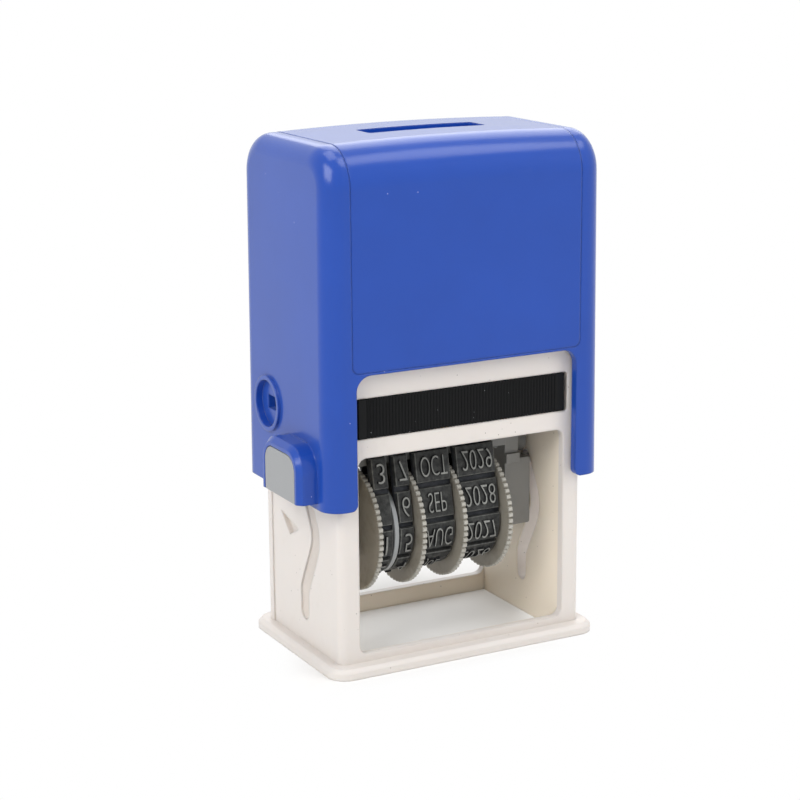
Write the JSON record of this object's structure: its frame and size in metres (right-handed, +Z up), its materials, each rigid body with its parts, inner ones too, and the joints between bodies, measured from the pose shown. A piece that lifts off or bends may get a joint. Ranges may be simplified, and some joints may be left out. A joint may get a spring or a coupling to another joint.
{
  "type": "self-inking date stamp",
  "caption": "Tall self-inking date stamp: a rounded cap slides down over an open frame and a carriage of date bands flips from the ink cartridge to the paper.",
  "frame": {"origin": "centre of the foot's footprint, on the paper", "axes": "+Z up along the press, -Y to the front with the ribbed grip of the ink cartridge, +X to the right seen from the front"},
  "size_m": [0.0514, 0.0292, 0.0766],
  "materials": {
    "frame_plastic": "satin",
    "cap_plastic": "gloss",
    "button_plastic": "satin",
    "cartridge_plastic": "satin",
    "felt": "matte",
    "carriage_plastic": "satin",
    "wheel_plastic": "satin",
    "band_rubber": "matte",
    "pin_steel": "satin",
    "spring_steel": "satin"
  },
  "bodies": {
    "frame": {"base_frame": "frame_plastic", "return_spring": "spring_steel"},
    "cartridge": {"ink_cartridge": "cartridge_plastic", "ink_felt": "felt"},
    "cap": {"cap_body": "cap_plastic", "cap_cover": "cap_plastic", "spring_bridge": "carriage_plastic", "drive_arm_left": "carriage_plastic", "drive_arm_right": "carriage_plastic", "ring_plug_left": "cap_plastic", "ring_plug_right": "cap_plastic"},
    "lock_left": {"lock_button_left": "button_plastic"},
    "lock_right": {"lock_button_right": "button_plastic"},
    "carriage": {"carriage_cheek_left": "carriage_plastic", "carriage_cheek_right": "carriage_plastic", "print_platen": "carriage_plastic", "pivot_pin_left": "pin_steel", "pivot_pin_right": "pin_steel", "cam_pin_left": "pin_steel", "cam_pin_right": "pin_steel", "wheel_axle": "pin_steel", "spacer_bush": "carriage_plastic", "separator_disc": "wheel_plastic", "band_day_tens": "band_rubber", "band_day_units": "band_rubber", "band_month": "band_rubber", "band_year": "band_rubber"},
    "day_tens_wheel": {"wheel_day_tens": "wheel_plastic"},
    "day_units_wheel": {"wheel_day_units": "wheel_plastic"},
    "month_wheel": {"wheel_month": "wheel_plastic"},
    "year_wheel": {"wheel_year": "wheel_plastic"}
  },
  "joints": [
    {"name": "cap_press", "type": "slide", "parent": "frame", "child": "cap", "axis": [0, 0, -1], "range_m": [0, 0.0218], "stiffness_N_per_m": 200, "springref_m": -0.015, "deforming": ["return_spring"]},
    {"name": "carriage_flip", "type": "hinge", "parent": "cap", "child": "carriage", "pos_m": [0, -0.0011, 0.02825], "axis": [-1, 0, 0], "range_deg": [0, 180]},
    {"name": "cartridge_slide", "type": "slide", "parent": "frame", "child": "cartridge", "axis": [0, 1, 0], "range_m": [-0.02, 0]},
    {"name": "lock_press_left", "type": "slide", "parent": "cap", "child": "lock_left", "axis": [1, 0, 0], "range_m": [0, 0.0009], "stiffness_N_per_m": 300, "springref_m": -0.001},
    {"name": "lock_press_right", "type": "slide", "parent": "cap", "child": "lock_right", "axis": [-1, 0, 0], "range_m": [0, 0.0009], "stiffness_N_per_m": 300, "springref_m": -0.001},
    {"name": "day_tens_turn", "type": "hinge", "parent": "carriage", "child": "day_tens_wheel", "pos_m": [-0.0127, -0.0011, 0.01845], "axis": [1, 0, 0], "continuous": true},
    {"name": "day_units_turn", "type": "hinge", "parent": "carriage", "child": "day_units_wheel", "pos_m": [-0.0055, -0.0011, 0.01845], "axis": [1, 0, 0], "continuous": true},
    {"name": "month_turn", "type": "hinge", "parent": "carriage", "child": "month_wheel", "pos_m": [0.0014, -0.0011, 0.01845], "axis": [1, 0, 0], "continuous": true},
    {"name": "year_turn", "type": "hinge", "parent": "carriage", "child": "year_wheel", "pos_m": [0.0091, -0.0011, 0.01845], "axis": [1, 0, 0], "continuous": true}
  ],
  "couplings": [
    {"joint": "carriage_flip", "follows": "cap_press", "rad_per_m": 144.11}
  ]
}
